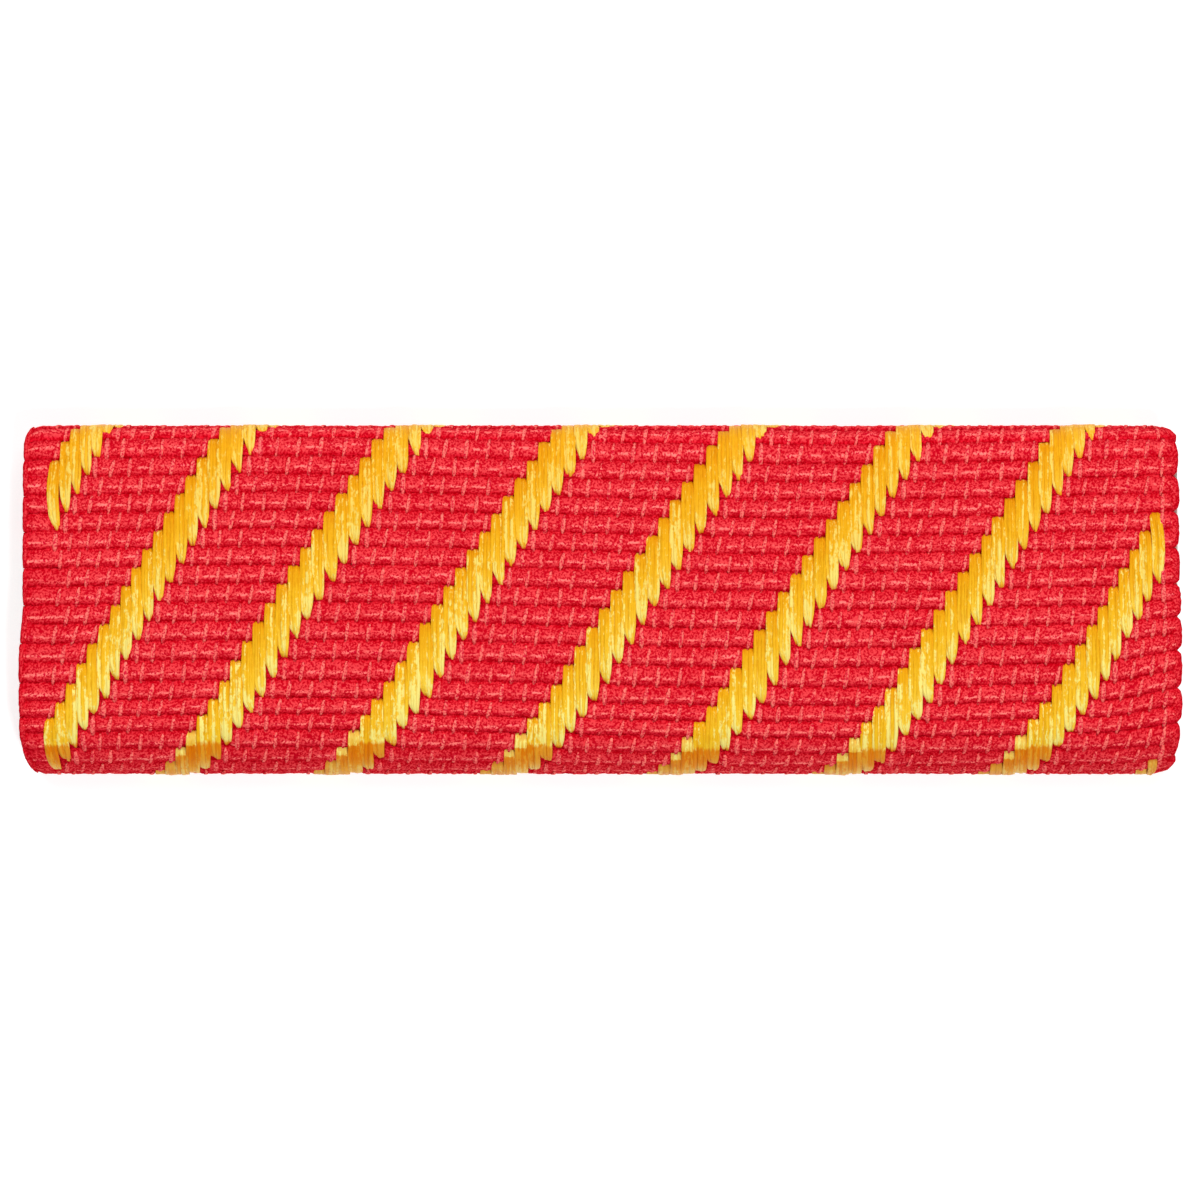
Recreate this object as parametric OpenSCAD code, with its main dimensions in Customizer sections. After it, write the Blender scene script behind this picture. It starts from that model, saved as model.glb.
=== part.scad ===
// Ribbon bar: a striped ribbon wound round a slide-on metal clip.
// The bar lies on its back with its face up: X runs along the bar, Y up the ribbon's
// height, Z out of the face, and Z = 0 is the surface that it lies on.
// Lengths are in millimetres.

/* [Ribbon] */
// Width of the woven ribbon, which is the length of the bar
ribbon_w = 34.9; // [25:0.1:50]
// Thickness of the cloth, from its back to the crests of its ribs
cloth_t = 0.48; // [0.36:0.01:0.6]
// Distance from one crosswise rib to the next, measured in the middle of the cloth
rib_pitch = 0.546; // [0.48:0.001:0.6]
// Radius of one rib
rib_r = 0.32; // [0.31:0.01:0.4]
// Depth of the groove between two ribs
groove_d = 0.12; // [0.06:0.01:0.16]
// How far the middle groove lies above the middle of the face
rib_shift = -0.12; // [-0.25:0.01:0.25]
// Length of each cloth end that is tucked in behind its flange
tuck_l = 1.2; // [0.6:0.05:1.4]
// Corner radius of the ribbon, seen from the front
ribbon_corner_r = 0.62; // [0.4:0.01:1]

/* [Stripes] */
// Width of one column of stripe thread, in the middle part of the ribbon
column_w = 0.36; // [0.3:0.001:0.45]
// How strongly the columns crowd together towards the two ends of the bar
column_crowd = 0.01; // [0:0.001:0.012]
// How far left of the middle they begin to crowd
crowd_left = 8.8; // [7:0.1:14]
// How far right of the middle they begin to crowd
crowd_right = 11.2; // [7:0.1:14]
// Columns side by side in a stripe, which is also the count of ribs that each float spans
stripe_cols = 4; // [3:1:6]
// Columns from one stripe to the next
repeat_cols = 14; // [9:1:20]
// Left edge of the stripe that crosses the middle of the face
stripe_x = 0.3; // [-2:0.05:2]
// Width of the plain edge at each end, outside the stripes
selvedge_w = 0.6; // [0.5:0.05:1.5]
// How far the stripes stand above the crests of the ribs
float_rise = 0.06; // [0.04:0.01:0.1]

/* [Clip] */
// Height of the metal clip
clip_h = 9.4; // [9:0.05:14]
// Thickness of its sheet metal
sheet_t = 0.35; // [0.25:0.01:0.45]
// Gap inside the channel, between the edge of the front plate and the lips
channel_gap = 1.45; // [1.3:0.05:2.4]
// Outer radius of its three tight long bends: both at the back, and the upper front one
bend_r = 0.62; // [0.55:0.01:0.75]
// Straight stretch between the back bend and the wide front bend of the lower edge
low_side = 0.08; // [0.05:0.01:0.4]
// Outer radius of the shallow crown of its front plate
crown_r = 22; // [16:1:60]
// Width of each flange across the back
flange_w = 2.2; // [2.1:0.05:2.6]
// Corner radius of the clip, seen from the front
clip_corner_r = 0.4; // [0.2:0.01:0.6]

/* [Clearances] */
// Gap between the cloth and the metal
cloth_gap = 0.05; // [0.03:0.01:0.08]
// How far each end of the clip lies inside the edge of the ribbon
end_inset = 0.05; // [0.02:0.01:0.2]

/* [Hidden] */
$fn = 96;
// The wide crown needs finer circles than the bends, and a rib coarser ones
crown_fn = 720;
rib_fn = 48;
// Room that a cutting shape takes past the face it cuts
over = 1;

// Levels are measured outward from the outer face of the metal
cloth_back = cloth_gap;
cloth_mid = cloth_gap + cloth_t / 2;
cloth_face = cloth_gap + cloth_t;

clip_d = 2 * sheet_t + channel_gap;
clip_w = ribbon_w - 2 * end_inset;
// Height of the bar over the crests of the ribs
bar_h = clip_h + 2 * cloth_face;

// Centres of the back bends, and the plane that the front bends rise to
back_bend_y = clip_h / 2 - bend_r;
back_bend_z = cloth_face + bend_r;
front_z = cloth_face + clip_d;

// The front bend of each edge: its side, the distance out and the height of its centre,
// and its outer radius. The lower edge is rounder, as the photo shows.
low_bend_r = clip_d - bend_r - low_side;
top_edge = [1, clip_h / 2 - bend_r, front_z - bend_r, bend_r];
low_edge = [-1, clip_h / 2 - low_bend_r, front_z - low_bend_r, low_bend_r];

// The crown is a circle that touches both front bends from outside
bend_apart = [-low_edge[1] - top_edge[1], low_edge[2] - top_edge[2]];
top_reach = crown_r - top_edge[3];
low_reach = crown_r - low_edge[3];
along = (pow(top_reach, 2) - pow(low_reach, 2) + pow(norm(bend_apart), 2)) / (2 * norm(bend_apart));
across = sqrt(pow(top_reach, 2) - pow(along, 2));
toward_low = bend_apart / norm(bend_apart);
crown_y = top_edge[1] + along * toward_low[0] - across * toward_low[1];
crown_z = top_edge[2] + along * toward_low[1] + across * toward_low[0];
// Runs start at the top of the crown, which lies a little above the middle of the face
rib_start = rib_shift - crown_y;
// Depth of the bar, from where it rests to the highest crest
bar_d = crown_z + crown_r + cloth_face;

// The edge of each lip, and the middle of its sheet
lip_y = clip_h / 2 - flange_w;
lip_z = cloth_face + sheet_t / 2;
turn_inner_r = sheet_t / 2 + cloth_gap;
turn_outer_r = turn_inner_r + cloth_t;

// Runs along the middle of the cloth, from the top of the crown out over one edge
function crown_angle(e) = asin((e[1] - e[0] * crown_y) / (crown_r - e[3]));
function crown_run(e) = (crown_r + cloth_mid) * crown_angle(e) * PI / 180;
function bend_run(e) = (e[3] + cloth_mid) * (90 - crown_angle(e)) * PI / 180;
function ribbed_run(e) = crown_run(e) + bend_run(e) + e[2] - back_bend_z;
first_rib = ceil((-ribbed_run(low_edge) - rib_start) / rib_pitch - 0.5);
last_rib = floor((ribbed_run(top_edge) - rib_start) / rib_pitch - 0.5);

// The left edge of a column, and the upper end of its float in stripe k
function crowded(x) =
    x - column_crowd * (pow(max(x - crowd_right, 0), 2) - pow(max(-x - crowd_left, 0), 2));
function column_x(c) = crowded(stripe_x + c * column_w);
function column_top(c, k) = rib_shift + (c - k * repeat_cols + 1) * rib_pitch;

// Columns that fit between the selvedges, and the stripes that reach them
stripe_end = ribbon_w / 2 - selvedge_w;
most_cols = ceil(ribbon_w / column_w);
stripe_columns = [
    for (c = [-most_cols : most_cols])
        if (column_x(c) >= -stripe_end && column_x(c + 1) <= stripe_end)
            c
];
reach_cols = ceil(bar_h / 2 / rib_pitch) + stripe_cols;
first_stripe = floor((min(stripe_columns) - reach_cols) / repeat_cols);
last_stripe = ceil((max(stripe_columns) + reach_cols) / repeat_cols);

// The point at a level over the section, at a run s from the top of the crown
function crown_point(s, level, e) =
    let (a = s / (crown_r + cloth_mid) * 180 / PI)
    [e[0] * crown_y + (crown_r + level) * sin(a), crown_z + (crown_r + level) * cos(a)];
function bend_point(s, level, e) =
    let (a = crown_angle(e) + (s - crown_run(e)) / (e[3] + cloth_mid) * 180 / PI)
    [e[1] + (e[3] + level) * sin(a), e[2] + (e[3] + level) * cos(a)];
function side_point(s, level, e) =
    [clip_h / 2 + level, e[2] - (s - crown_run(e) - bend_run(e))];
function edge_point(s, level, e) =
    s < crown_run(e) ? crown_point(s, level, e)
    : s < crown_run(e) + bend_run(e) ? bend_point(s, level, e)
    : side_point(s, level, e);
function section_point(s, level) =
    let (e = s < 0 ? low_edge : top_edge, p = edge_point(abs(s), level, e))
    [e[0] * p[0], p[1]];

// Turns a section across the bar into a solid along it
module along_bar(length) {
    translate([-length / 2, 0, 0])
        rotate([90, 0, 90])
            linear_extrude(length)
                children();
}

// Where the line from the crown's centre through a bend's centre passes the crown
function past_crown(e, level) =
    let (reach = (crown_r + level + over) / (crown_r - e[3]))
    [crown_y + reach * (e[0] * e[1] - crown_y), crown_z + reach * (e[2] - crown_z)];

// What lies in front of the section's face: its two bends and the crown between them
module front_waste(level) {
    wide_y = clip_h / 2 + level + over;
    difference() {
        polygon([
            [-wide_y, low_edge[2]], [-low_edge[1], low_edge[2]], [top_edge[1], top_edge[2]],
            [wide_y, top_edge[2]], [wide_y, bar_d + 2 * over], [-wide_y, bar_d + 2 * over]
        ]);
        intersection() {
            translate([crown_y, crown_z])
                circle(crown_r + level, $fn = crown_fn);
            polygon([
                [-low_edge[1], low_edge[2] - over], past_crown(low_edge, level),
                past_crown(top_edge, level), [top_edge[1], top_edge[2] - over]
            ]);
        }
        for (e = [top_edge, low_edge])
            translate([e[0] * e[1], e[2]])
                circle(e[3] + level);
    }
}

// What lies outside the bend between one side and the back
module back_waste(level) {
    difference() {
        translate([back_bend_y, -over])
            square([bend_r + level + over, back_bend_z + over]);
        translate([back_bend_y, back_bend_z])
            circle(bend_r + level);
    }
}

// The filled section of the clip's outer face, grown by a level
module section(level) {
    side_y = clip_h / 2 + level;
    difference() {
        translate([-side_y, cloth_face - level])
            square([2 * side_y, bar_d + over]);
        front_waste(level);
        for (side = [0, 1])
            mirror([side, 0])
                back_waste(level);
    }
}

// A plate with rounded corners, to trim a piece as seen from the front
module rounded_trim(length, height, r) {
    translate([0, 0, -over])
        linear_extrude(bar_d + 2 * over)
            union() {
                square([length - 2 * r, height], center = true);
                square([length, height - 2 * r], center = true);
                for (x = [-1, 1], y = [-1, 1])
                    translate([x * (length / 2 - r), y * (height / 2 - r)])
                        circle(r);
            }
}

// The open strip of the back between the lips, from below up to a height
module back_opening(top) {
    translate([-lip_y, -over])
        square([2 * lip_y, top + over]);
}

module ribs() {
    for (i = [first_rib : last_rib])
        translate(section_point((i + 0.5) * rib_pitch + rib_start, cloth_face - rib_r))
            circle(rib_r, $fn = rib_fn);
}

// The cloth round one lip: the turn at its edge and the end tucked in behind it
module turned_end() {
    difference() {
        translate([lip_y, lip_z])
            circle(turn_outer_r);
        translate([lip_y, lip_z])
            circle(turn_inner_r);
        translate([lip_y, lip_z - turn_outer_r - over])
            square([turn_outer_r + over, 2 * (turn_outer_r + over)]);
    }
    translate([lip_y, lip_z + turn_inner_r])
        square([tuck_l, cloth_t]);
}

// The outline of one stripe: its columns climb one rib from each to the next
module stripe(k) {
    columns = [for (c = stripe_columns) if (abs(c - k * repeat_cols) < reach_cols) c];
    if (len(columns) > 0)
        polygon(concat(
            [for (c = columns, side = [0, 1])
                [column_x(c + side), column_top(c, k) - stripe_cols * rib_pitch]],
            [for (i = [len(columns) - 1 : -1 : 0], side = [1, 0])
                [column_x(columns[i] + side), column_top(columns[i], k)]]
        ));
}

// The floats of the stripes, raised over the face and its two front bends
module stripes() {
    intersection() {
        along_bar(ribbon_w)
            difference() {
                section(cloth_face + float_rise);
                section(cloth_mid);
            }
        translate([0, 0, low_edge[2]])
            linear_extrude(bar_d)
                for (k = [first_stripe : last_stripe])
                    stripe(k);
    }
}

module ribbon_section() {
    difference() {
        union() {
            section(cloth_face - groove_d);
            ribs();
            // the back bands are pressed flat where they rest
            intersection() {
                section(cloth_face);
                translate([-bar_h / 2, 0])
                    square([bar_h, back_bend_z]);
            }
        }
        section(cloth_back);
        back_opening(back_bend_z);
    }
    turned_end();
    mirror([1, 0])
        turned_end();
}

module clip_section() {
    difference() {
        section(0);
        section(-sheet_t);
        back_opening(back_bend_z);
    }
}

module ribbon() {
    color([0.86, 0.13, 0.18])
        intersection() {
            union() {
                along_bar(ribbon_w)
                    ribbon_section();
                stripes();
            }
            rounded_trim(ribbon_w, bar_h + 2 * float_rise, ribbon_corner_r);
        }
}

module slide_clip() {
    color([0.76, 0.74, 0.71])
        intersection() {
            along_bar(clip_w)
                clip_section();
            rounded_trim(clip_w, clip_h, clip_corner_r);
        }
}

ribbon();
slide_clip();
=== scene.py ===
import math
import bmesh
import bpy
import numpy as np
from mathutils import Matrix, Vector


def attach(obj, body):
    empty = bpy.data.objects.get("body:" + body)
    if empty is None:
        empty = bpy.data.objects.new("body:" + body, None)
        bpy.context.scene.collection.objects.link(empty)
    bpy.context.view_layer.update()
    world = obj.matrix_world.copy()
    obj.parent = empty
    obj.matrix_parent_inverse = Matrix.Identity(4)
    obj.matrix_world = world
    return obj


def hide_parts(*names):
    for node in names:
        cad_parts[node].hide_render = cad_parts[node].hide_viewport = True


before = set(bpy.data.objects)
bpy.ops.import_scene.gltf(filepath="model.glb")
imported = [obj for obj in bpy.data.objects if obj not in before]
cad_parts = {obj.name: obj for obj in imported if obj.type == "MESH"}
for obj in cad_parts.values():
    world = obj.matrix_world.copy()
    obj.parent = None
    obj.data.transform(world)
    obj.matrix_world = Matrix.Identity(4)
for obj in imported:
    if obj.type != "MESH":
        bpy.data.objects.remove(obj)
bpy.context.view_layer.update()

mm = 0.001
rootBody = "root"

# sizes in mm, the same as in the part's source
clip = {
    "height": 9.4, "sheet": 0.35, "channel": 1.45, "bend": 0.62, "lowSide": 0.08,
    "crown": 22.0, "flange": 2.2,
}
cloth = {
    "width": 34.9, "thick": 0.48, "gap": 0.05, "tuck": 1.2, "cornerReach": 1.0,
    "loose": 0.05, "looseOver": 0.1,            # the rows stand off this much more round the bends
    "backEase": 0.9, "backClear": 0.002,        # the back goes flat over this run, just off the table
}
weave = {
    "ribPitch": 0.546, "ribShift": -0.14,       # the groove nearest the middle of the face
    "columnWidth": 0.36, "stripeX": 0.3,
    "crowd": 0.01, "crowdLeft": 8.8, "crowdRight": 11.2,      # columns crowd together past these places
    "stripeColumns": 4, "repeatColumns": 14, "firstColumn": -49, "lastColumn": 46,
    "crest": 0.236,                             # top of a row over the middle of the cloth
}
seeds = {"row": 500, "wave": 90, "loop": 3000, "loopSide": 40, "tie": 7000, "float": 40000, "floatColumn": 64}


class ClothPath:
    # the middle line of the cloth across the bar, from the lower tucked end over the face to the upper one
    def __init__(self):
        half = cloth["thick"] / 2
        middle = cloth["gap"] + half
        face = cloth["gap"] + cloth["thick"]
        depth = 2 * clip["sheet"] + clip["channel"]
        backZ = face + clip["bend"]
        frontZ = face + depth
        lowBend = depth - clip["bend"] - clip["lowSide"]
        top = np.array([clip["height"] / 2 - clip["bend"], frontZ - clip["bend"]])
        low = np.array([lowBend - clip["height"] / 2, frontZ - lowBend])
        apart = low - top
        span = np.hypot(*apart)
        topReach, lowReach = clip["crown"] - clip["bend"], clip["crown"] - lowBend
        along = (topReach ** 2 - lowReach ** 2 + span ** 2) / (2 * span)
        across = math.sqrt(topReach ** 2 - along ** 2)
        toLow = apart / span
        crown = top + along * toLow + across * np.array([-toLow[1], toLow[0]])
        self.crownY = crown[0]             # runs start at the top of the crown
        topAngle = math.asin((top[0] - crown[0]) / topReach)
        lowAngle = math.asin((crown[0] - low[0]) / lowReach)
        lipY = clip["height"] / 2 - clip["flange"]
        lipZ = face + clip["sheet"] / 2
        turn = clip["sheet"] / 2 + middle
        back = clip["bend"] + middle
        quarter = math.pi / 2
        legs = [  # length and radius of each stretch, radius 0 where it is straight
            (cloth["tuck"], 0), (2 * quarter * turn, turn), (top[0] - lipY, 0), (quarter * back, back),
            (low[1] - backZ, 0), ((quarter - lowAngle) * (lowBend + middle), lowBend + middle),
            ((lowAngle + topAngle) * (clip["crown"] + middle), clip["crown"] + middle),
            ((quarter - topAngle) * back, back), (top[1] - backZ, 0), (quarter * back, back),
            (top[0] - lipY, 0), (2 * quarter * turn, turn), (cloth["tuck"], 0),
        ]
        self.lengths = np.array([leg[0] for leg in legs])
        self.radii = np.array([leg[1] for leg in legs], float)
        self.total = self.lengths.sum()
        middleRun = self.lengths[:6].sum() + lowAngle * (clip["crown"] + middle)
        self.starts = np.concatenate([[0], np.cumsum(self.lengths)[:-1]]) - middleRun
        self.low, self.high = self.starts[0], self.starts[0] + self.total
        place, heading = np.array([-(lipY + cloth["tuck"]), lipZ + turn]), 0.0
        self.places, self.headings = [], []
        for length, radius in legs:
            self.places.append(place)
            self.headings.append(heading)
            if radius:
                turned = heading - length / radius
                out = np.array([-math.sin(turned), math.cos(turned)])
                start = np.array([-math.sin(heading), math.cos(heading)])
                place, heading = place + radius * (out - start), turned
            else:
                place = place + length * np.array([math.cos(heading), math.sin(heading)])
        self.places, self.headings = np.array(self.places), np.array(self.headings)
        self.backLow = self.starts[4]      # runs where the back bends end and the sides begin
        self.backHigh = self.starts[9]

    def at(self, run):
        leg = np.clip(np.searchsorted(self.starts, run, side="right") - 1, 0, len(self.starts) - 1)
        radius, begun = self.radii[leg], run - self.starts[leg]
        curved = radius > 0
        heading = self.headings[leg] - np.where(curved, begun / np.where(curved, radius, 1), 0)
        out = np.stack([-np.sin(heading), np.cos(heading)], -1)
        first = np.stack([-np.sin(self.headings[leg]), np.cos(self.headings[leg])], -1)
        ahead = np.stack([np.cos(heading), np.sin(heading)], -1)
        step = np.where(curved[..., None], radius[..., None] * (out - first), begun[..., None] * ahead)
        return self.places[leg] + step, out


def smooth(low, high, value):
    t = np.clip((value - low) / (high - low), 0, 1)
    return t * t * (3 - 2 * t)


path = ClothPath()
print("cloth path", round(path.total, 2), "mm")


drift = {  # how far the rows stray, and the runs or places across between which each stray sets in
    "sway": 0.12, "swayHalf": 15.4, "swayMiddle": -9.3,
    "packed": 0.11, "packedRuns": (-3.0, 0.6), "turned": 0.07, "turnedRuns": (-3.6, -4.4),
    "thinned": 0.08, "thinnedAt": -3.0, "thinnedSpan": 0.7,
    "lifted": 0.34, "liftedAcross": (15.0, 17.6), "liftedRuns": (0.4, -2.6),
    "leastLift": 0.4, "leastLiftRuns": (-5.2, -3.4), "fadeRun": 5,
}
bulge = {  # how far each selvedge stands out, over what part of the width and which runs
    "left": 0.13, "leftRuns": (-0.5, -2.1), "right": 0.12, "rightRuns": (3.0, -3.0),
    "from": 12.0, "to": 17.0, "lowRuns": (-5.6, -4.2),
}


def rowDrift(x, run):
    # the rows bow across the ribbon, are packed closer in the upper half, and lift at the lower right
    bowed = drift["sway"] * np.cos((x - drift["swayMiddle"]) / drift["swayHalf"] * math.pi)
    packed = drift["packed"] * smooth(*drift["packedRuns"], run) - drift["packed"]
    packed = packed + drift["turned"] * smooth(*drift["turnedRuns"], run)
    thinned = -drift["thinned"] * np.exp(-((run - drift["thinnedAt"]) / drift["thinnedSpan"]) ** 2)
    lifted = drift["lifted"] * smooth(*drift["liftedAcross"], x) * smooth(*drift["liftedRuns"], run)
    least, fade = drift["leastLift"], drift["fadeRun"]
    lifted = lifted * (least + (1 - least) * smooth(*drift["leastLiftRuns"], run))
    fades = smooth(path.low, path.low + fade, run) * smooth(path.high, path.high - fade, run)
    return (bowed + packed + thinned + lifted) * fades


def edgeDrift(x, run):
    # both selvedges bulge a little in the lower half of the face
    left = -bulge["left"] * smooth(-bulge["from"], -bulge["to"], x) * smooth(*bulge["leftRuns"], run)
    right = bulge["right"] * smooth(bulge["from"], bulge["to"], x) * smooth(*bulge["rightRuns"], run)
    return (left + right) * smooth(*bulge["lowRuns"], run)


# how far each corner is drawn in, over what height, and how round it is: 2 is a circle, near 1 a straight cut
corners = {
    (-1, 1): (0.20, 0.56, 1.35), (1, 1): (0.52, 0.54, 2.0),
    (-1, -1): (0.29, 0.66, 1.4), (1, -1): (0.52, 0.68, 2.0),
}


def wrapped(x, run, level):
    # from the flat cloth to its place round the clip; the back is pressed flat where it rests
    x, run, level = np.broadcast_arrays(np.asarray(x, float), run, level)
    x, run = x + edgeDrift(x, run), run + rowDrift(x, run)
    lowEase, highEase = path.backLow - cloth["backEase"], path.backHigh + cloth["backEase"]
    onBack = 1 - smooth(lowEase, path.backLow, run) * smooth(highEase, path.backHigh, run)
    flat = cloth["thick"] / 2 - cloth["backClear"]
    level = level - onBack * np.maximum(level - flat, 0)
    place, out = path.at(run)
    level = level + cloth["loose"] * out[..., 0] ** 2 * smooth(0.0, cloth["looseOver"], level)
    y = place[..., 0] + out[..., 0] * level
    z = place[..., 1] + out[..., 1] * level
    half = cloth["width"] / 2
    outerY = clip["height"] / 2 + cloth["gap"] + cloth["thick"] + cloth["loose"]
    for (sideX, sideY), (reach, height, power) in corners.items():
        t = np.clip((sideY * y - (outerY - height)) / height, 0, 1)
        squeeze = reach * (1 - (1 - t ** power) ** (1 / power))
        x = x - sideX * squeeze * smooth(half - cloth["cornerReach"], half, sideX * x)
    return np.stack([x, y, z], -1) * mm


class Flow:
    # a node socket that can be added, multiplied and so on
    def __init__(self, recipe, socket):
        self.recipe, self.socket = recipe, socket

    def __add__(self, other): return self.recipe.maths("ADD", self, other)
    def __sub__(self, other): return self.recipe.maths("SUBTRACT", self, other)
    def __mul__(self, other): return self.recipe.maths("MULTIPLY", self, other)
    def __rsub__(self, other): return self.recipe.maths("SUBTRACT", other, self)
    __radd__, __rmul__ = __add__, __mul__

    def part(self, axis):
        return self.recipe.node("ShaderNodeSeparateXYZ", {}, {"Vector": self}, "XYZ"[axis])

    def wander(self, reach):
        return (self - 0.5) * reach      # a noise between 0 and 1 becomes a stray to both sides

    def between(self, fromLow, fromHigh, toLow=0.0, toHigh=1.0):
        return self.recipe.node("ShaderNodeMapRange", {"interpolation_type": "SMOOTHSTEP"}, {
            "Value": self, "From Min": fromLow, "From Max": fromHigh, "To Min": toLow, "To Max": toHigh,
        }, "Result")


class Recipe:
    # a material and the nodes that go into it
    def __init__(self, name):
        self.material = bpy.data.materials.new(name)
        self.material.use_nodes = True
        self.tree = self.material.node_tree
        self.tree.nodes.clear()

    def node(self, kind, settings, values, output=0):
        made = self.tree.nodes.new(kind)
        for key, value in settings.items():
            setattr(made, key, value)
        for key, value in values.items():
            if isinstance(value, Flow):
                self.tree.links.new(value.socket, made.inputs[key])
            else:
                made.inputs[key].default_value = value
        return Flow(self, made.outputs[output])

    def maths(self, operation, first, second):
        return self.node("ShaderNodeMath", {"operation": operation}, {0: first, 1: second})

    def stretched(self, vector, scale):
        return self.node("ShaderNodeVectorMath", {"operation": "MULTIPLY"}, {0: vector, 1: scale})

    def attribute(self, name, output="Fac"):
        return self.node("ShaderNodeAttribute", {"attribute_name": name}, {}, output)

    def noise(self, vector, scale, detail, roughness):
        return self.node("ShaderNodeTexNoise", {}, {
            "Vector": vector, "Scale": scale, "Detail": detail, "Roughness": roughness,
        }, "Fac")

    def mix(self, factor, first, second, blend="MIX"):
        values = {0: factor}        # this node's colours go in at 6 and 7 and come out at 2
        for slot, value in ((6, first), (7, second)):
            values[slot] = value if isinstance(value, Flow) else (*value, 1)
        return self.node("ShaderNodeMix", {"data_type": "RGBA", "blend_type": blend}, values, 2)

    def tinted(self, colour, tint):
        return self.mix(1.0, colour, tint, "MULTIPLY")

    def bump(self, height, strength, distance):
        values = {"Height": height, "Strength": strength, "Distance": distance}
        return self.node("ShaderNodeBump", {}, values, "Normal")

    def finish(self, values):
        shader = self.node("ShaderNodeBsdfPrincipled", {}, values)
        out = self.tree.nodes.new("ShaderNodeOutputMaterial")
        self.tree.links.new(shader.socket, out.inputs["Surface"])
        return self.material


def tubeTemplate(sides, rings):
    # a closed tube of unit length: each point's step round it and its place along it
    bm = bmesh.new()
    bmesh.ops.create_cone(bm, cap_ends=True, segments=sides, radius1=1, radius2=1, depth=1)
    upright = [e for e in bm.edges if abs(e.verts[0].co.z - e.verts[1].co.z) > 0.5]
    bmesh.ops.subdivide_edges(bm, edges=upright, cuts=rings - 2, use_grid_fill=True)
    bm.verts.ensure_lookup_table()
    bm.verts.index_update()
    faces = [[v.index for v in face.verts] for face in bm.faces]
    spots = np.array([v.co for v in bm.verts])
    bm.free()
    angle = np.arctan2(spots[:, 1], spots[:, 0])
    return {
        "angle": angle, "step": np.round(angle / (2 * math.pi) * sides).astype(int) % sides,
        "along": spots[:, 2] + 0.5,
        "corners": np.concatenate([np.array(face) for face in faces]),
        "sizes": np.array([len(face) for face in faces]),
    }


def joined(name, template, x, run, level, marks):
    # one mesh of all the copies: x, run and level are arrays of copies by template points
    x, run, level = np.broadcast_arrays(x, run, level)
    count, size = x.shape
    mesh = bpy.data.meshes.new(name)
    mesh.vertices.add(count * size)
    mesh.vertices.foreach_set("co", wrapped(x, run, level).astype(np.float32).ravel())
    points = (template["corners"][None, :] + (np.arange(count) * size)[:, None]).ravel()
    sizes = np.tile(template["sizes"], count)
    mesh.loops.add(len(points))
    mesh.loops.foreach_set("vertex_index", points.astype(np.int32))
    mesh.polygons.add(len(sizes))
    mesh.polygons.foreach_set("loop_start", (np.cumsum(sizes) - sizes).astype(np.int32))
    mesh.update(calc_edges=True)
    mesh.validate()
    place = mesh.attributes.new("clothPlace", "FLOAT_VECTOR", "POINT")
    place.data.foreach_set("vector", np.stack([x, run, level], -1).astype(np.float32).ravel())
    for key, value in marks.items():
        mark = mesh.attributes.new(key, "FLOAT", "POINT")
        mark.data.foreach_set("value", np.broadcast_to(value, (count, size)).astype(np.float32).ravel())
    bm = bmesh.new()
    bm.from_mesh(mesh)
    bmesh.ops.recalc_face_normals(bm, faces=bm.faces)
    bm.to_mesh(mesh)
    bm.free()
    mesh.shade_smooth()
    piece = bpy.data.objects.new(name, mesh)
    bpy.context.collection.objects.link(piece)
    return piece


def dress(piece, material):
    piece.data.materials.clear()
    piece.data.materials.append(material)
    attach(piece, rootBody)
    print("piece", piece.name, sum(len(face.vertices) - 2 for face in piece.data.polygons), "triangles")


# the lattice of the weave: columns of warp across the ribbon, rows of weft along it
def columnX(column):
    # left edge of a column; they crowd together towards both selvedges
    even = weave["stripeX"] + column * weave["columnWidth"]
    left = np.maximum(-even - weave["crowdLeft"], 0)
    right = np.maximum(even - weave["crowdRight"], 0)
    return even + weave["crowd"] * (left ** 2 - right ** 2)


latticeColumns = np.arange(-52.0, 53.0)      # a few more than the ribbon has
halfWidth = cloth["width"] / 2
stripeFrom, stripeTo = columnX(weave["firstColumn"]), columnX(weave["lastColumn"] + 1)
ribStart = weave["ribShift"] - path.crownY
rows = np.arange(math.ceil((path.low - ribStart) / weave["ribPitch"]),
                 math.floor((path.high - ribStart) / weave["ribPitch"]))


def stripeShare(x, row):
    # columns past the left edge of the nearest stripe to the left, 0 to repeatColumns
    return np.mod(np.interp(x, columnX(latticeColumns), latticeColumns) - row, weave["repeatColumns"])


def rowMiddle(row):
    return (row + 0.5) * weave["ribPitch"] + ribStart


ties = {
    "offsets": [4.55, 6.07, 7.87, 9.78, 11.74, 13.55],      # columns past the left edge of a stripe
    "repeats": 5, "from": -16.5, "to": 17.1, "selvedge": 16.9, "clear": 0.3, "sides": 6, "rings": 5,
    "halfWidth": 0.066, "halfThick": 0.018, "low": -0.34, "high": 0.22, "lean": 0.050, "rise": 0.016,
    "hug": 0.50, "endDip": 0.02, "endWidth": 0.5, "endBlunt": 0.6,
    # how much each tie differs from the next, and the few that are pulled in
    "varyLow": 0.02, "varyHigh": 0.03, "varyLean": 0.45, "varyWidth": 0.15, "varyPlace": 0.03,
    "varyDeep": 0.006, "pulledIn": 0.03, "pulledOver": 0.75,
    # the one right beside a stripe stands straighter, wider and longer
    "besideColumn": 5.2, "besideLow": 0.02, "besideHigh": 0.05, "besideLean": 0.8, "besideWidth": 0.2,
}


def tieSpots(row):
    # where along a row the warp ties cross it
    repeats = np.arange(-ties["repeats"], ties["repeats"] + 1)[:, None] * weave["repeatColumns"]
    spots = columnX(row + (repeats + np.array(ties["offsets"])[None, :]).ravel())
    spots = spots[(spots > ties["from"]) & (spots < ties["to"])]
    clear = spots[np.abs(spots - ties["selvedge"]) > ties["clear"]]
    return np.sort(np.append(clear, ties["selvedge"]))


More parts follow.
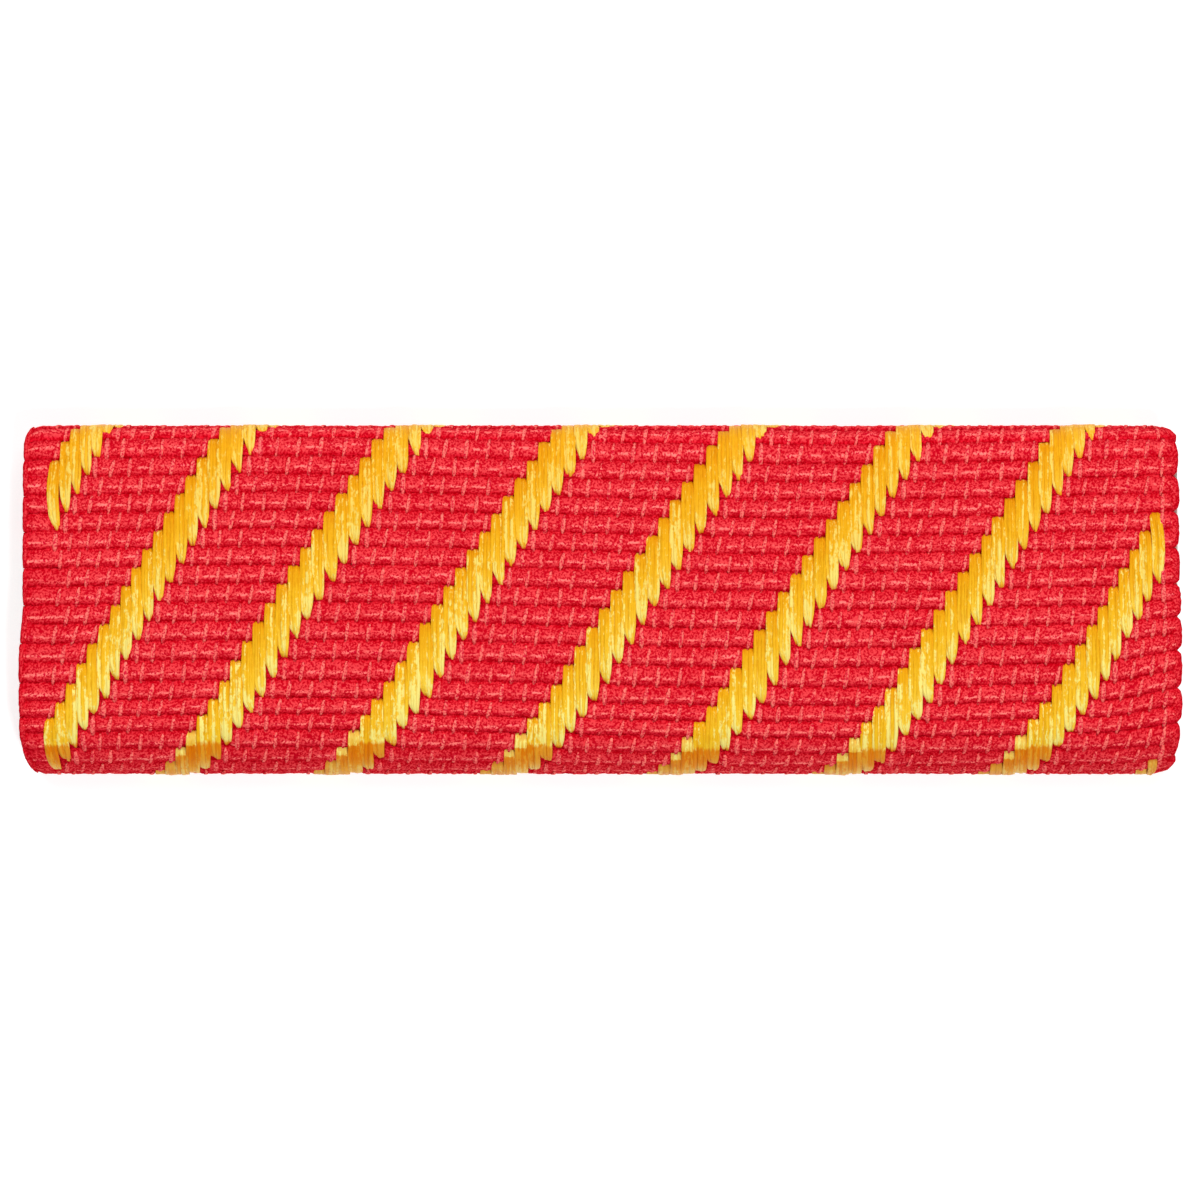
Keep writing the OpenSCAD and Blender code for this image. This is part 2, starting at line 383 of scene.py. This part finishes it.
threadColours = {
    # the deep red is painted shade for the grooves, where the red thread lies low
    "redCrest": (0.79, 0.032, 0.043), "redGrooveShade": (0.70, 0.009, 0.021), "redPaintedHighlight": (0.98, 0.120, 0.120),
    # the tie red is lighter than the rows' red as painted sheen on the ties' upright fibres
    "redTie": (0.97, 0.125, 0.115),
    # along a float the gold goes from painted shade at its upper end to painted sheen towards its tip
    "goldTopShaded": (0.87, 0.410, 0.006), "goldMiddle": (0.95, 0.545, 0.018), "goldTailSheen": (1.00, 0.670, 0.055),
    # the light gold is a painted highlight
    "goldHighlight": (1.00, 0.860, 0.230), "goldShade": (0.75, 0.270, 0.005), "goldFoldShade": (0.86, 0.42, 0.09),
}


redLook = {  # where each shade begins and ends, and how far the noises move that
    "grain": 16.0, "blotch": 4.0,
    "crestAt": (0.140, 0.245), "crestWander": 0.07,
    "toneShare": 0.5, "toneTint": (0.93, 0.75, 0.82),
    "shadeAt": (0.2, 0.9), "shadeWander": 0.5, "shadeTint": (0.95, 0.36, 0.64),
    "lineAt": (0.25, 0.85), "lineWander": 0.4,
    "speckAt": (0.38, 0.62), "speckGrain": 1.3, "speckStreak": 0.3, "speckBlotch": 0.2, "speckLine": 0.07,
    "darkSpeck": (0.80, 0.08, 0.38), "lightSpeck": (1.14, 1.95, 1.68),
    "roughness": 0.5, "shine": 0.0, "bump": 0.7, "bumpDeep": 0.00003,
}


def redThread(name, crest, grooveShade, paintedHighlight, fibreScale, speckle):
    r, look = Recipe(name), redLook
    place = r.attribute("clothPlace", "Vector")
    tone, line = r.attribute("tone"), r.attribute("line")
    streak = r.noise(r.stretched(place, fibreScale), 1.0, 2.0, 0.6)
    grain = r.noise(place, look["grain"], 1.0, 0.6)
    blotch = r.noise(place, look["blotch"], 2.0, 0.5)
    # painted shade: the red goes over to the deep colour where the thread lies low in the grooves
    height = place.part(2) + blotch.wander(look["crestWander"]) + grain.wander(look["crestWander"])
    colour = r.mix(height.between(*look["crestAt"]), grooveShade, crest)
    darker = tone.between(0.0, 1.0, 0.0, look["toneShare"])
    colour = r.mix(darker, colour, r.tinted(colour, look["toneTint"]))
    # painted shade on the lower side of each row, where the shade mark is set
    shade = (r.attribute("shade") + grain.wander(look["shadeWander"])).between(*look["shadeAt"])
    colour = r.mix(shade, colour, r.tinted(colour, look["shadeTint"]))
    # painted highlight: the line mark lightens each brick's lower border
    lit = line + grain.wander(look["lineWander"]) + streak.wander(look["lineWander"])
    colour = r.mix(lit.between(*look["lineAt"]), colour, paintedHighlight)
    speck = grain.wander(look["speckGrain"]) + streak.wander(look["speckStreak"])
    speck = (speck + blotch.wander(look["speckBlotch"])) * speckle + 0.5
    speck = (speck + line * look["speckLine"]).between(*look["speckAt"])
    colour = r.mix(speck, r.tinted(colour, look["darkSpeck"]), r.tinted(colour, look["lightSpeck"]))
    return r.finish({
        "Base Color": colour, "Roughness": look["roughness"], "Specular IOR Level": look["shine"],
        "Normal": r.bump(streak * 0.5 + grain * 0.5, look["bump"], look["bumpDeep"]),
    })


goldLook = {  # a name in At or Runs says where a shade sets in, one in Share or Shine how strong it is
    "streak": (13.0, 3.6, 13.0), "grain": 13.0,
    "middleAt": (-0.05, 0.45), "tailAt": (0.45, 0.90),      # on the way down a float, 0 to 1
    "toneShine": 0.7, "streakShine": 1.5, "grainShine": 0.6, "gain": 2.1, "downShine": 0.6,
    "bentShine": 0.35, "bentFrom": (0.62, 0.82), "bentTo": (0.97, 0.86),
    "lowShine": 0.22, "lowRuns": (-1.5, -4.2), "lightAt": (0.50, 1.15),
    "dullAt": (0.1, -0.5), "dullShare": 0.6, "dullTint": (0.92, 0.78, 0.5),
    "deepAt": (0.06, 0.205), "rimAt": (0.6, 1.0), "rimShare": 0.75, "rimTint": (1.0, 0.72, 0.5),
    "upperRuns": (-4.5, 5.0), "upperTint": (0.95, 0.77, 0.50),
    "topAt": (0.24, 0.06), "topWander": 0.15, "topRuns": (-4.2, -4.6), "topShare": 0.45,
    "foldRuns": (-4.58, -4.74), "foldTop": 0.5, "foldWander": 0.3,
    "underRuns": (-5.8, -5.1), "underShare": 0.55,
    "roughness": 0.34, "shine": 0.04, "bump": 0.7, "bumpDeep": 0.00003,
}


def goldThread():
    r, look, colours = Recipe("stripeThreadSilk"), goldLook, threadColours
    place, tone = r.attribute("clothPlace", "Vector"), r.attribute("tone")
    down = r.attribute("down")      # 0 at the upper end of a float, 1 at its lower tip
    run = place.part(1)
    streak = r.noise(r.stretched(place, look["streak"]), 1.0, 2.0, 0.6)
    grain = r.noise(place, look["grain"], 1.5, 0.55)
    # painted shade at the upper end of a float, painted sheen towards its tip
    colour = r.mix(down.between(*look["middleAt"]), colours["goldTopShaded"], colours["goldMiddle"])
    colour = r.mix(down.between(*look["tailAt"]), colour, colours["goldTailSheen"])
    # painted highlight: streaks of sheen, stronger towards the tip, on the turn down and low on the face
    shine = tone.wander(look["toneShine"]) + streak.wander(look["streakShine"])
    shine = (shine + grain.wander(look["grainShine"])) * look["gain"] + down * look["downShine"]
    bent = down.between(*look["bentFrom"]) * down.between(*look["bentTo"])      # painted highlight on the turn down to the tip
    shine = shine + bent * look["bentShine"] + run.between(*look["lowRuns"]) * look["lowShine"]
    colour = r.mix(shine.between(*look["lightAt"]), colour, colours["goldHighlight"])
    # painted shade: darker, more orange gold where the painted sheen is weak
    dull = shine.between(*look["dullAt"], 0.0, look["dullShare"])
    colour = r.mix(dull, colour, r.tinted(colour, look["dullTint"]))
    # painted shade where the strands lie low, at their sides and where they rise out of or dive into the groove
    colour = r.mix(place.part(2).between(*look["deepAt"]), colours["goldShade"], colour)
    # painted shade: the sides of each strand turn a darker orange
    rim = r.attribute("rim").between(*look["rimAt"], 0.0, look["rimShare"])
    colour = r.mix(rim, colour, r.tinted(colour, look["rimTint"]))
    # painted shade: the gold shines less higher up the face
    colour = r.mix(run.between(*look["upperRuns"]), colour, r.tinted(colour, look["upperTint"]))
    # painted highlight on the upper ends of the floats where the lower fold begins
    top = (down + grain.wander(look["topWander"])).between(*look["topAt"]) * run.between(*look["topRuns"])
    colour = r.mix(top * look["topShare"], colour, colours["goldHighlight"])
    # painted shade: browner where it turns under, less so further round towards the table
    fold = (run + top * look["foldTop"] + streak.wander(look["foldWander"])).between(*look["foldRuns"])
    fold = fold * run.between(*look["underRuns"], look["underShare"], 1.0)
    colour = r.mix(fold, colour, r.tinted(colour, colours["goldFoldShade"]))
    return r.finish({
        "Base Color": colour, "Roughness": look["roughness"], "Specular IOR Level": look["shine"],
        "Normal": r.bump(streak * 0.7 + grain * 0.3, look["bump"], look["bumpDeep"]),
    })


redWeft = redThread("redWeftThread", threadColours["redCrest"], threadColours["redGrooveShade"],
                    threadColours["redPaintedHighlight"], (4.0, 15.0, 15.0), 1.0)
# the ties: a lighter red as painted sheen, going to the rows' crest red as painted shade where they dip low
redTie = redThread("redTieThread", threadColours["redTie"], threadColours["redCrest"],
                   threadColours["redPaintedHighlight"], (15.0, 4.0, 15.0), 0.5)
gold = goldThread()


ground = {"face": 0.06, "thick": 0.29, "across": 60, "lengthwise": 220, "leftIn": 0.12, "rightIn": 0.24}


def makeGround():
    # the plain sheet behind the rows
    bm = bmesh.new()
    bmesh.ops.create_grid(bm, x_segments=ground["across"], y_segments=ground["lengthwise"], size=0.5)
    spots = np.array([v.co for v in bm.verts])
    left, right = ground["leftIn"] - halfWidth, halfWidth - ground["rightIn"]
    x = left + (spots[:, 0] + 0.5) * (right - left)
    run = path.low + (spots[:, 1] + 0.5) * path.total
    level = np.full(len(x), ground["face"])
    for v, co in zip(bm.verts, wrapped(x, run, level)):
        v.co = co
    mesh = bpy.data.meshes.new("ribbonGround")
    bm.to_mesh(mesh)
    bm.free()
    place = mesh.attributes.new("clothPlace", "FLOAT_VECTOR", "POINT")
    place.data.foreach_set("vector", np.stack([x, run, level], -1).astype(np.float32).ravel())
    mesh.shade_smooth()
    piece = bpy.data.objects.new("ribbonGround", mesh)
    bpy.context.collection.objects.link(piece)
    solid = piece.modifiers.new("clothThickness", "SOLIDIFY")
    solid.thickness, solid.offset = ground["thick"] * mm, -1
    return piece


ribbonGround = makeGround()
dress(ribbonGround, redWeft)
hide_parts("ribbon")


weft = {
    "sides": 12, "topSteps": 8, "rings": 400, "halfRun": 0.305, "leftEnd": -17.37, "rightEnd": 17.22,
    "pastEnd": 0.5, "crestAt": -0.25, "upperDrop": 0.100, "lowerDrop": 0.118, "underside": -0.10,
    "pinch": 0.015, "pinchWidth": 0.12, "endDrop": 0.35, "endFrom": 0.45, "endTo": 0.1,
    # pressed down under a stripe, in columns from its left edge and past its right one
    "underFloat": 0.080, "underFrom": (-0.35, 0.15), "underTo": (0.15, -0.25), "outside": 0.05, "inside": 0.1,
    "underTip": 0.030, "tipColumns": (2.4, 3.4), "topEase": 0.6, "topRuns": (4.0, 4.8),
    "rough": 0.016, "roughMiddle": 0.6, "lift": 0.008, "shift": 0.006, "tilt": 0.04,
    "wobble": 0.014, "waves": (0.35, 0.8, 1.7, 3.1), "leastWave": 0.4, "wavePhase": 6.28,
}
brick = {  # the cloth between two ties: the painted highlight along its lower border and the painted shade on its lower side
    "lineAt": -0.33, "lineBow": 0.0045, "lineBowColumn": 5, "lineTilt": 0.05, "lineSlope": 0.22,
    "lineFrom": (0.10, 0.24), "lineTo": (0.0, 0.06), "lineBelow": 0.11, "lineAbove": 0.19,
    "lineShare": 0.88, "lineLift": 0.17, "underFloat": 0.8, "pastRight": 0.7,
    "shadeFrom": -0.50, "shadeTo": -0.78, "lowRuns": (-1.5, -4.2), "lowFrom": 0.22, "lowTo": 0.12,
    "shadeShare": 0.8, "shadeLow": 0.2, "atTie": 0.6,
}


def rowWave(x, row):
    # slow wander of one row, from a few sines of its own
    own = np.random.default_rng(seeds["wave"] + int(row))
    total = np.zeros_like(x)
    for turns in weft["waves"]:
        size = own.uniform(weft["leastWave"], 1)
        total += size * np.sin(turns * x + own.uniform(0, weft["wavePhase"])) / len(weft["waves"])
    return total * weft["wobble"]


def ridgeDrop(across):
    # how far the top of a row lies under its crest, from its upper side (1) to its lower side (-1)
    off = across - weft["crestAt"]
    upper = np.clip(off / (1 - weft["crestAt"]), 0, 1) ** 2.0
    lower = np.clip(-off / (1 + weft["crestAt"]), 0, 1) ** 2.0
    return weft["upperDrop"] * upper + weft["lowerDrop"] * lower


def weftRow(row, x, across, top):
    # one row: a low ridge, steep on its lower side, pinched by the ties and pressed down under the stripes
    own = np.random.default_rng(seeds["row"] + int(row))
    middle, spots, share = rowMiddle(row), tieSpots(row), stripeShare(x, row)
    index = np.searchsorted(spots, x)
    last = len(spots) - 1
    left = np.where(index > 0, spots[np.clip(index - 1, 0, last)], weft["leftEnd"] - weft["pastEnd"])
    right = np.where(index <= last, spots[np.clip(index, 0, last)], weft["rightEnd"] + weft["pastEnd"])
    pinched = 1 - smooth(0.0, weft["pinchWidth"], np.minimum(x - left, right - x))
    near, far = weft["inside"], weft["outside"]
    inside = smooth(stripeFrom - far, stripeFrom + near, x) * smooth(stripeTo + far, stripeTo - near, x)
    under = smooth(*weft["underFrom"], share)
    under = under * smooth(*[weave["stripeColumns"] + past for past in weft["underTo"]], share)
    tip = weft["underTip"] * under * smooth(*weft["tipColumns"], share)
    drop = (weft["underFloat"] * under + tip) * inside
    drop = drop * (1 - weft["topEase"] * smooth(*weft["topRuns"], middle))
    tone, lift, tilt = own.uniform(-1, 1, (3, len(spots) + 1))[:, index]
    ends = 1 - weft["endDrop"] * smooth(halfWidth - weft["endFrom"], halfWidth - weft["endTo"], np.abs(x))
    ridge = weave["crest"] * ends - weft["pinch"] * pinched - drop + lift * weft["lift"]
    rough = own.uniform(-1, 1, (2, len(x))) * weft["rough"]
    level = ridge - ridgeDrop(across) + rough[0]
    run = middle + weft["halfRun"] * across + rowWave(x, row) + lift * weft["shift"]
    run = run + tilt * (x - (left + right) / 2) * weft["tilt"] + rough[1] * (weft["roughMiddle"] + abs(across))
    # painted highlight along the lower border of each brick, from past one tie up to the next
    at = brick["lineAt"] + brick["lineBow"] * np.maximum(share - brick["lineBowColumn"], 0) ** 2
    at = at + tilt * brick["lineTilt"] - brick["lineSlope"] * ((x - left) / (right - left) - 0.5)
    border = smooth(*brick["lineFrom"], x - left) * smooth(*brick["lineTo"], right - x)
    pastRight = brick["pastRight"] * smooth(stripeTo - near, stripeTo + near, x)
    plain = np.maximum(smooth(stripeFrom + near, stripeFrom - near, x), pastRight)
    line = np.exp(-((across - at) / np.where(across < at, brick["lineBelow"], brick["lineAbove"])) ** 2)
    line = line * np.maximum(border * (1 - brick["underFloat"] * under * inside), plain)
    line = line * (brick["lineShare"] + brick["lineLift"] * lift)
    # painted shade: the dark patches on the lower side of each row between the ties, wider low on the face
    low = smooth(*brick["lowRuns"], middle)
    shade = smooth(brick["shadeFrom"] + brick["lowFrom"] * low, brick["shadeTo"] + brick["lowTo"] * low, across)
    shade = shade * (1 - brick["atTie"] * pinched) * (brick["shadeShare"] + brick["shadeLow"] * low)
    return run, np.where(top, level, weft["underside"]), tone * 0.5 + 0.5, line, shade


def makeWeft(name, wanted, rings):
    t = tubeTemplate(weft["sides"], rings)
    top = t["step"] <= weft["topSteps"]
    spare = weft["sides"] - weft["topSteps"]
    overTop, underneath = 1 - 2 * t["step"] / weft["topSteps"], 2 * (t["step"] - weft["topSteps"]) / spare - 1
    across = np.where(top, overTop, underneath)
    x = weft["leftEnd"] + t["along"] * (weft["rightEnd"] - weft["leftEnd"])
    made = np.array([weftRow(row, x, across, top) for row in wanted]).transpose(1, 0, 2)
    run, level, tone, line, shade = made
    return joined(name, t, x[None, :], run, level, {"tone": tone, "line": line, "shade": shade})


faceRows = [row for row in rows if path.backLow < rowMiddle(row) < path.backHigh]
lowerRows, upperRows = faceRows[:len(faceRows) // 2], faceRows[len(faceRows) // 2:]
backRows = [row for row in rows if row not in faceRows]
for name, wanted, rings in (("weftLowerFace", lowerRows, weft["rings"]),
                            ("weftUpperFace", upperRows, weft["rings"]),
                            ("weftBack", backRows, weft["rings"] // 2)):
    piece = makeWeft(name, wanted, rings)
    dress(piece, redWeft)


loops = {
    "sides": 8, "rings": 11, "height": 0.18, "level": 0.03, "reach": 0.98, "roundness": 2.6,
    "endThick": 0.4, "endHeight": 0.5, "vary": (0.85, 1.1), "rough": 0.012,
    "left": {"thick": 0.10, "bump": 0.07}, "right": {"thick": 0.17, "bump": 0.21},
}


def makeLoops():
    # the weft turns back at each selvedge, two rows at a time
    t = tubeTemplate(loops["sides"], loops["rings"])
    xs, runs, levels, tones = [], [], [], []
    c, s, fromMiddle = np.cos(t["angle"]), np.sin(t["angle"]), 2 * t["along"] - 1
    swell = (1 - np.abs(fromMiddle) ** loops["roundness"]) ** 0.5
    endThick, endHeight = loops["endThick"], loops["endHeight"]
    for side, end, shape in ((-1, -weft["leftEnd"], loops["left"]), (1, weft["rightEnd"], loops["right"])):
        for row in rows[(side < 0):-1:2]:
            own = np.random.default_rng(seeds["loop"] + int(row) + seeds["loopSide"] * side)
            out, thick = shape["bump"] * own.uniform(*loops["vary"]), shape["thick"]
            x = end + (out - thick) * swell + thick * (endThick + (1 - endThick) * swell) * c
            between = (rowMiddle(row) + rowMiddle(row + 1)) / 2
            xs.append(side * (x + own.uniform(-1, 1, len(x)) * loops["rough"]))
            runs.append(between + fromMiddle * weave["ribPitch"] * loops["reach"])
            levels.append(loops["level"] + loops["height"] * (endHeight + (1 - endHeight) * swell) * s)
            tones.append(np.full(len(x), own.uniform(0, 1)))
    marks = {"tone": np.array(tones)}
    return joined("selvedgeLoops", t, np.array(xs), np.array(runs), np.array(levels), marks)


selvedgeLoops = makeLoops()
dress(selvedgeLoops, redWeft)


def makeTies():
    # short leaning stitches of warp over each row
    t = tubeTemplate(ties["sides"], ties["rings"])
    xs, runs, levels, tones = [], [], [], []
    c, s, u = np.cos(t["angle"]), np.sin(t["angle"]), t["along"]
    plump = ties["endWidth"] + (1 - ties["endWidth"]) * np.sin(math.pi * u) ** ties["endBlunt"]
    dip = ties["endDip"] * np.abs(2 * u - 1) ** 4
    for row in rows:
        own = np.random.default_rng(seeds["tie"] + int(row))
        spots = tieSpots(row)
        for spot, share in zip(spots, stripeShare(spots, row)):
            draws = own.uniform(-1, 1, 6)
            beside = 1.0 if share < ties["besideColumn"] else 0.0
            sunk = ties["pulledIn"] * (draws[0] > ties["pulledOver"]) + ties["varyDeep"] * (1 + draws[1])
            low = ties["low"] - ties["besideLow"] * beside + ties["varyLow"] * draws[2]
            high = ties["high"] + ties["besideHigh"] * beside + ties["varyHigh"] * draws[3]
            lean = ties["lean"] * (1 + ties["varyLean"] * draws[4]) * (1 - ties["besideLean"] * beside)
            width = 1 + ties["varyWidth"] * draws[5] + ties["besideWidth"] * beside
            width = ties["halfWidth"] * width * plump
            fromMiddle = low + (high - low) * u
            hugged = weave["crest"] - ties["hug"] * ridgeDrop(fromMiddle / weft["halfRun"]) - dip
            xs.append(spot + ties["varyPlace"] * draws[0] + lean * (2 * u - 1) + width * c)
            runs.append(rowMiddle(row) + fromMiddle + rowWave(spot, row))
            levels.append(hugged - sunk + ties["rise"] + ties["halfThick"] * s)
            tones.append(np.full(len(u), 0.5 + 0.5 * draws[1]))
    marks = {"tone": np.array(tones)}
    return joined("warpTies", t, np.array(xs), np.array(runs), np.array(levels), marks)


warpTies = makeTies()
dress(warpTies, redTie)


floats = {
    "strands": 6, "sides": 6, "rings": 12, "repeats": 6, "inset": 0.2,
    "halfWidth": 0.070, "halfThick": 0.014, "spread": 0.33,
    # height of a strand on its way down: out of the groove, a low arch, a slope that catches the light, a dive
    "down": [0.0, 0.03, 0.08, 0.30, 0.52, 0.70, 0.94, 1.0],
    "level": [0.10, 0.19, 0.235, 0.262, 0.272, 0.268, 0.215, 0.10],
    # the bundle swells a little in the middle, its strands thin out and draw together at the tip
    "swell": 0.08, "drawn": 0.58, "drawnAt": (0.82, 1.03), "thinner": 0.20, "thinnerAt": (0.7, 1.0),
    "cut": 0.04, "leastSlim": 0.1, "blunt": 0.22, "outward": 0.07,
    # where the bundle's tip lies across it, and how far the bundles and the strands differ
    "tipAt": (0.56, 0.74), "shift": 0.012, "lower": 0.03, "varySide": 0.012, "varyTop": 0.03, "varyEnd": 0.04,
    "start": 0.005, "startBow": 0.05, "end": 0.03, "endBow": 0.28,
    "ripple": 0.004, "rippleDown": 0.012, "rippleTurns": 8, "ripplePhase": 6,
    "sink": 0.012, "sinkTop": 0.4, "sinkDown": 0.9, "varyBow": 0.010,
}


def makeFloats(name, lowest, highest):
    # the stripes: loose bundles of gold thread over four rows each
    t = tubeTemplate(floats["sides"], floats["rings"])
    xs, runs, levels, tones, downs = [], [], [], [], []
    c, s = np.cos(t["angle"]), np.sin(t["angle"])
    down = 0.5 - 0.5 * np.cos(math.pi * t["along"])
    bow, drawn = np.sin(math.pi * down), smooth(*floats["drawnAt"], down)
    arch = np.interp(down, floats["down"], floats["level"])
    rounded = np.sin(math.pi * (floats["cut"] + (1 - 2 * floats["cut"]) * down))
    slim = 1 - floats["thinner"] * smooth(*floats["thinnerAt"], down)
    slim = slim * np.clip(rounded, floats["leastSlim"], 1) ** floats["blunt"]
    closing = 1 + floats["swell"] * bow - floats["drawn"] * drawn
    length = weave["stripeColumns"] * weave["ribPitch"]
    sideways = {weave["firstColumn"]: -floats["outward"], weave["lastColumn"]: floats["outward"]}
    for column in range(weave["firstColumn"], weave["lastColumn"] + 1):
        left, width = columnX(column), columnX(column + 1) - columnX(column)
        for repeat in range(-floats["repeats"], floats["repeats"] + 1):
            top = ribStart + (column - repeat * weave["repeatColumns"] + 1) * weave["ribPitch"]
            onCloth = top - length >= path.low + floats["inset"] and top <= path.high - floats["inset"]
            if not onCloth or not lowest <= top - length / 2 < highest:
                continue
            own = np.random.default_rng(seeds["float"] + column * seeds["floatColumn"] + repeat)
            tipAt = own.uniform(*floats["tipAt"])
            shift, lower = [own.uniform(-reach, reach) for reach in (floats["shift"], floats["lower"])]
            for strand in range(floats["strands"]):
                share = (strand + 0.5) / floats["strands"]
                draws = own.uniform(-1, 1, 7)
                side = (share - 0.5) * floats["spread"] * width / weave["columnWidth"]
                side = side + floats["varySide"] * draws[0]
                x = left + width / 2 + shift + side * closing
                x = x + drawn * (tipAt - 0.5) * width + sideways.get(column, 0.0) * bow
                ripple = np.sin(down * floats["rippleTurns"] + draws[1] * floats["ripplePhase"])
                x = x + (floats["ripple"] + floats["rippleDown"] * down) * ripple
                start = top - floats["start"] - floats["varyTop"] * abs(draws[2])
                start = start - floats["startBow"] * (2 * share - 1) ** 4
                end = top - length + floats["end"] + lower + floats["varyEnd"] * draws[3]
                end = end + floats["endBow"] * (share - tipAt) ** 2
                sink = floats["sink"] * (1 + draws[4]) * (floats["sinkTop"] + floats["sinkDown"] * down)
                level = arch - sink + floats["varyBow"] * draws[5] * bow
                xs.append(x + floats["halfWidth"] * slim * c)
                runs.append(start + (end - start) * down)
                levels.append(level + floats["halfThick"] * slim * s)
                tones.append(np.full(len(down), 0.5 + 0.5 * draws[6]))
                downs.append(down)
    marks = {"tone": np.array(tones), "down": np.array(downs), "rim": np.abs(c)}
    return joined(name, t, np.array(xs), np.array(runs), np.array(levels), marks)


for name, lowest, highest in (("floatsLower", path.low, 0.0), ("floatsUpper", 0.0, path.high)):
    piece = makeFloats(name, lowest, highest)
    dress(piece, gold)


metal = {
    "brush": (300.0, 9000.0, 9000.0), "cloud": 400.0,
    "dark": (0.66, 0.57, 0.50), "light": (0.80, 0.72, 0.65),
    "brushAt": (0.2, 0.8), "roughness": (0.28, 0.46), "bump": 0.25, "bumpDeep": 0.00002,
}


def clipMetal():
    r = Recipe("clipNickel")
    spot = r.node("ShaderNodeTexCoord", {}, {}, "Object")
    brushed = r.noise(r.stretched(spot, metal["brush"]), 1.0, 3.0, 0.6)
    cloud = r.noise(spot, metal["cloud"], 3.0, 0.6)
    return r.finish({
        "Base Color": r.mix(cloud, metal["dark"], metal["light"]), "Metallic": 1.0,
        "Roughness": brushed.between(*metal["brushAt"], *metal["roughness"]),
        "Normal": r.bump(brushed, metal["bump"], metal["bumpDeep"]),
    })


nickel = clipMetal()
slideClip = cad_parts["slide_clip"]
for holder in slideClip.material_slots:
    holder.material = nickel
if not slideClip.material_slots:
    slideClip.data.materials.append(nickel)


table = {"size": 1.2, "colour": (0.60, 0.60, 0.60), "roughness": 0.7, "glow": 0.62}


def makeTable():
    bm = bmesh.new()
    bmesh.ops.create_grid(bm, x_segments=1, y_segments=1, size=table["size"] / 2)
    mesh = bpy.data.meshes.new("floor")
    bm.to_mesh(mesh)
    bm.free()
    floor = bpy.data.objects.new("floor", mesh)
    bpy.context.collection.objects.link(floor)
    floor.data.materials.append(Recipe("paleFloor").finish({
        "Base Color": (*table["colour"], 1), "Roughness": table["roughness"],
        "Emission Color": (1, 1, 1, 1), "Emission Strength": table["glow"],  # a lit white table
    }))


lights = [  # name, place in metres, size, watts
    ("frontKey", (0.10, -0.17, 0.55), 0.07, 1.6),
    ("topSoft", (-0.05, 0.45, 0.60), 0.80, 4.3),
]
surround = 0.15      # strength of the even white light from all round


def makeLights():
    for name, place, size, watts in lights:
        lamp = bpy.data.lights.new(name, "AREA")
        lamp.shape, lamp.size, lamp.energy = "DISK", size, watts
        holder = bpy.data.objects.new(name, lamp)
        holder.location = place
        holder.rotation_euler = (-Vector(place)).to_track_quat("-Z", "Y").to_euler()
        holder.visible_glossy = name != "topSoft"      # it fills, and only the key shines on the silk
        bpy.context.collection.objects.link(holder)
    world = bpy.data.worlds.new("softSurround")
    world.use_nodes = True
    background = world.node_tree.nodes["Background"].inputs
    background["Color"].default_value = (1, 1, 1, 1)
    background["Strength"].default_value = surround
    bpy.context.scene.world = world
    bpy.context.scene.view_settings.view_transform = "Standard"


view = {
    "frameWidth": 36.15, "lens": 300.0, "sensor": 36.0, "faceHeight": 3.5, "offsetX": -0.03,
    "near": 0.01, "far": 10,
}


def makeCamera():
    eye = bpy.data.cameras.new("photoView")
    eye.lens, eye.sensor_width = view["lens"], view["sensor"]
    eye.clip_start, eye.clip_end = view["near"], view["far"]
    holder = bpy.data.objects.new("photoView", eye)
    away = view["frameWidth"] * view["lens"] / view["sensor"] + view["faceHeight"]
    holder.location = (view["offsetX"] * mm, 0, away * mm)
    bpy.context.collection.objects.link(holder)
    bpy.context.scene.camera = holder


makeTable()
makeLights()
makeCamera()
print("table, lights and camera are set")
